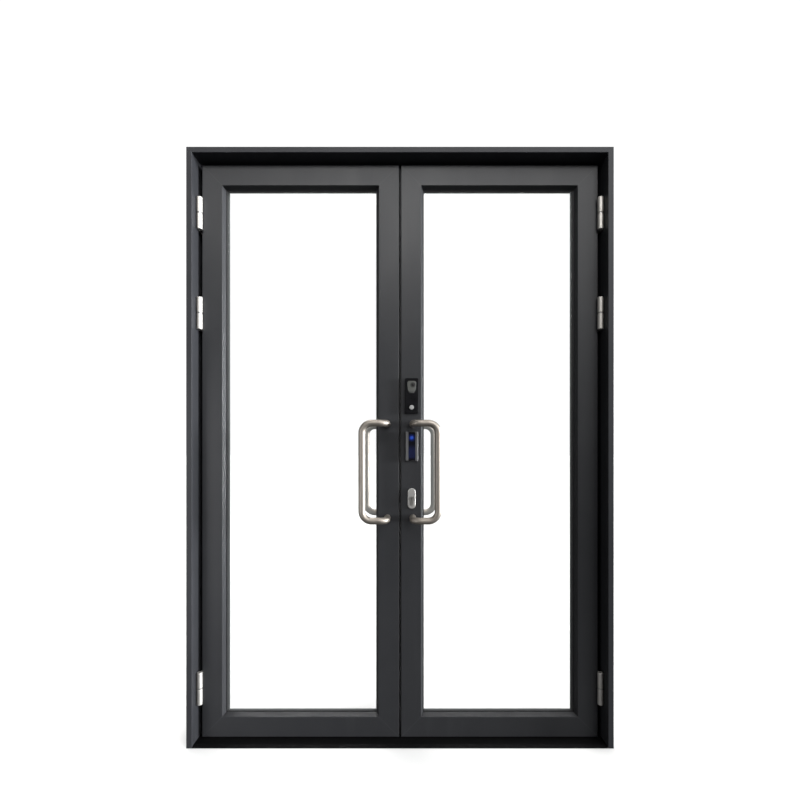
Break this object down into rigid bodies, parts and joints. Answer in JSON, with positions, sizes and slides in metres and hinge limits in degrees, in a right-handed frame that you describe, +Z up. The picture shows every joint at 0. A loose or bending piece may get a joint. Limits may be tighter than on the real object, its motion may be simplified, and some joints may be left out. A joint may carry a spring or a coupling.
{
  "type": "french doors",
  "caption": "Glazed french doors in a mitred aluminium frame: leaves hinged at the outer edges, offset tube pulls on both faces, access reader, lock unit and key cylinder on a meeting stile",
  "frame": {"origin": "floor level, at the middle of the closed leaves in width and thickness", "axes": "+Z up, +X to the right seen from the pull side, the pull side with the hinge barrels faces -Y"},
  "size_m": [1.5, 0.238, 2.11],
  "materials": {
    "graphite_coat": "satin",
    "mill_aluminium": "satin",
    "black_sill": "matte",
    "black_spacer": "matte",
    "clear_glass": "gloss",
    "black_gasket": "matte",
    "brush_pile": "matte",
    "satin_steel": "satin",
    "plain_steel": "satin",
    "nickel_cylinder": "satin",
    "reader_black": "satin",
    "sensor_grey": "gloss",
    "button_white": "gloss",
    "elock_alloy": "satin",
    "dark_glass": "polished",
    "blue_light": "gloss"
  },
  "bodies": {
    "frame": {"left_jamb": "graphite_coat", "right_jamb": "graphite_coat", "head": "graphite_coat", "threshold": "black_sill", "frame_cleats": "mill_aluminium", "frame_seal": "black_gasket", "hinge_frame_halves": "satin_steel", "hinge_pins": "plain_steel", "hinge_frame_screws": "plain_steel"},
    "left_leaf": {"left_hinge_stile": "graphite_coat", "left_meeting_stile": "graphite_coat", "left_top_rail": "graphite_coat", "left_bottom_rail": "graphite_coat", "left_leaf_cleats": "mill_aluminium", "left_outer_pane": "clear_glass", "left_inner_pane": "clear_glass", "left_glass_spacer": "black_spacer", "left_glazing_beads": "graphite_coat", "left_glazing_gaskets": "black_gasket", "left_bottom_seal": "brush_pile", "left_hinge_halves": "satin_steel", "left_hinge_screws": "plain_steel", "left_front_pull": "satin_steel", "left_back_pull": "satin_steel", "left_pull_studs": "plain_steel", "left_meeting_seal": "brush_pile", "lock_strike": "satin_steel", "flush_bolt_plates": "satin_steel"},
    "right_leaf": {"right_hinge_stile": "graphite_coat", "right_meeting_stile": "graphite_coat", "right_top_rail": "graphite_coat", "right_bottom_rail": "graphite_coat", "right_leaf_cleats": "mill_aluminium", "right_outer_pane": "clear_glass", "right_inner_pane": "clear_glass", "right_glass_spacer": "black_spacer", "right_glazing_beads": "graphite_coat", "right_glazing_gaskets": "black_gasket", "right_bottom_seal": "brush_pile", "right_hinge_halves": "satin_steel", "right_hinge_screws": "plain_steel", "right_front_pull": "satin_steel", "right_back_pull": "satin_steel", "right_pull_studs": "plain_steel", "right_meeting_seal": "brush_pile", "lock_case": "plain_steel", "lock_forend": "satin_steel", "cylinder_escutcheons": "satin_steel", "cylinder_body": "nickel_cylinder", "reader_plate": "reader_black", "reader_window": "sensor_grey", "elock_body": "elock_alloy", "elock_glass": "dark_glass", "elock_light": "blue_light"},
    "top_bolt": {"top_flush_bolt": "plain_steel"},
    "bottom_bolt": {"bottom_flush_bolt": "plain_steel"},
    "lock_bolt": {"deadbolt": "plain_steel"},
    "lock_plug": {"key_plug": "nickel_cylinder", "thumbturn": "satin_steel"},
    "button": {"reader_button": "button_white"}
  },
  "joints": [
    {"name": "left_leaf_swing", "type": "hinge", "parent": "frame", "child": "left_leaf", "pos_m": [-0.7195, -0.041, 1.05], "axis": [0, 0, -1], "range_deg": [0, 100]},
    {"name": "right_leaf_swing", "type": "hinge", "parent": "frame", "child": "right_leaf", "pos_m": [0.7195, -0.041, 1.05], "axis": [0, 0, 1], "range_deg": [0, 100]},
    {"name": "top_bolt_slide", "type": "slide", "parent": "left_leaf", "child": "top_bolt", "axis": [0, 0, 1], "range_m": [0, 0.028]},
    {"name": "bottom_bolt_slide", "type": "slide", "parent": "left_leaf", "child": "bottom_bolt", "axis": [0, 0, -1], "range_m": [0, 0.008]},
    {"name": "key_turn", "type": "hinge", "parent": "right_leaf", "child": "lock_plug", "pos_m": [0.042, 0, 0.87], "axis": [0, -1, 0], "range_deg": [0, 360]},
    {"name": "deadbolt_slide", "type": "slide", "parent": "right_leaf", "child": "lock_bolt", "axis": [-1, 0, 0], "range_m": [0, 0.02]},
    {"name": "button_press", "type": "slide", "parent": "right_leaf", "child": "button", "axis": [0, 1, 0], "range_m": [0, 0.002], "stiffness_N_per_m": 500, "springref_m": -0.001}
  ],
  "couplings": [
    {"joint": "key_turn", "follows": "deadbolt_slide", "rad_per_m": 314.16}
  ]
}
